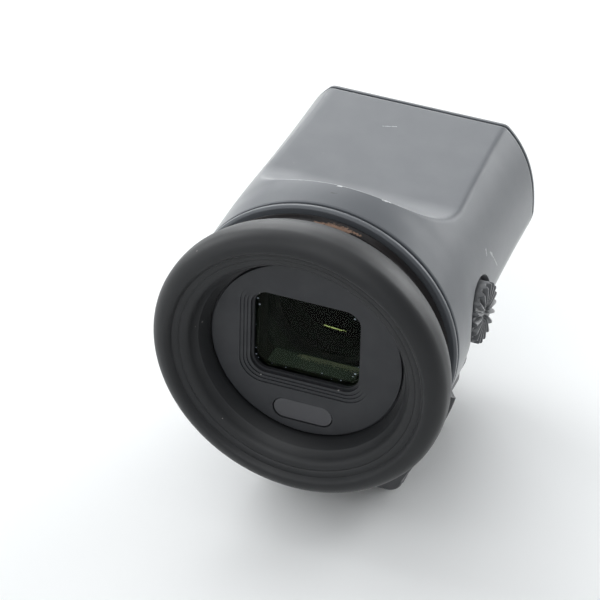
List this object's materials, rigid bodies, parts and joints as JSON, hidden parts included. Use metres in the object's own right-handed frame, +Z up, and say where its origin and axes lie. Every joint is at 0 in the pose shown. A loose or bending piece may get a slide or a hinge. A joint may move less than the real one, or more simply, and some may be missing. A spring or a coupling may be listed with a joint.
{
  "type": "electronic viewfinder",
  "caption": "Clip-on electronic viewfinder: round rubber eyecup, scooped flat-topped tilting head, ribbed dioptre dial, lower cradle with an accessory shoe foot.",
  "frame": {"origin": "middle of the underside of the accessory foot, on which the finder stands", "axes": "+Z up; the optical axis runs along Y and the eyecup faces -Y; the dioptre dial is on the +X side; +Y is the way the camera looks"},
  "size_m": [0.04, 0.0461, 0.049],
  "materials": {
    "rubber": "moulded soft rubber, fine matt grain",
    "gloss_black": "polished black plastic",
    "matt_black": "matt black coating on moulded plastic",
    "inner_black": "matt black moulded plastic",
    "coated_glass": "coated flat glass, green reflection",
    "clear_glass": "clear ground and polished glass",
    "sensor_glass": "dark infrared-clear plastic",
    "steel": "plain turned steel",
    "dark_metal": "black-coated metal",
    "gold_contact": "gold-plated contact",
    "circuit_board": "green solder mask on glass-fibre board",
    "cable_film": "amber polyimide film",
    "screen": "dark display glass"
  },
  "bodies": {
    "base": {"base_cradle": "matt_black", "base_cover": "matt_black", "shoe_foot": "dark_metal", "foot_screw_1": "dark_metal", "foot_screw_2": "dark_metal", "foot_screw_3": "dark_metal", "foot_screw_4": "dark_metal", "contact_block": "inner_black", "contact_pin_1": "gold_contact", "contact_pin_2": "gold_contact", "contact_pin_3": "gold_contact", "contact_pin_4": "gold_contact", "base_board": "circuit_board", "hinge_pin_left": "steel", "hinge_pin_right": "steel", "hinge_washer_left": "steel", "hinge_washer_right": "steel"},
    "head": {"eyecup": "rubber", "eyecup_ring": "gloss_black", "collar_ring": "matt_black", "body_shell": "matt_black", "end_plate": "matt_black", "belly_cover": "matt_black", "hinge_bracket": "dark_metal", "bracket_screw_1": "steel", "bracket_screw_2": "steel", "eyepiece_bezel": "inner_black", "eyepiece_window": "coated_glass", "sensor_window": "sensor_glass", "sensor_board": "circuit_board", "lens_tube": "inner_black", "display_panel": "screen", "display_frame": "dark_metal", "main_board": "circuit_board", "flex_cable": "cable_film", "dial_washer": "steel"},
    "dial": {"dioptre_dial": "inner_black", "dial_shaft": "steel"},
    "lens_group": {"lens_carrier": "inner_black", "eye_lens": "clear_glass", "field_lens": "clear_glass", "lens_retainer": "dark_metal"}
  },
  "joints": [
    {"name": "head_tilt", "type": "hinge", "parent": "base", "child": "head", "pos_m": [0, 0.0137, 0.0112], "axis": [-1, 0, 0], "range_deg": [0, 90]},
    {"name": "dial_turn", "type": "hinge", "parent": "head", "child": "dial", "pos_m": [0, -0.0051, 0.029], "axis": [1, 0, 0], "range_deg": [-55, 55]},
    {"name": "lens_focus", "type": "slide", "parent": "head", "child": "lens_group", "axis": [0, 1, 0], "range_m": [-0.00165, 0.00165]}
  ],
  "couplings": [
    {"joint": "dial_turn", "follows": "lens_focus", "rad_per_m": -571.43}
  ]
}
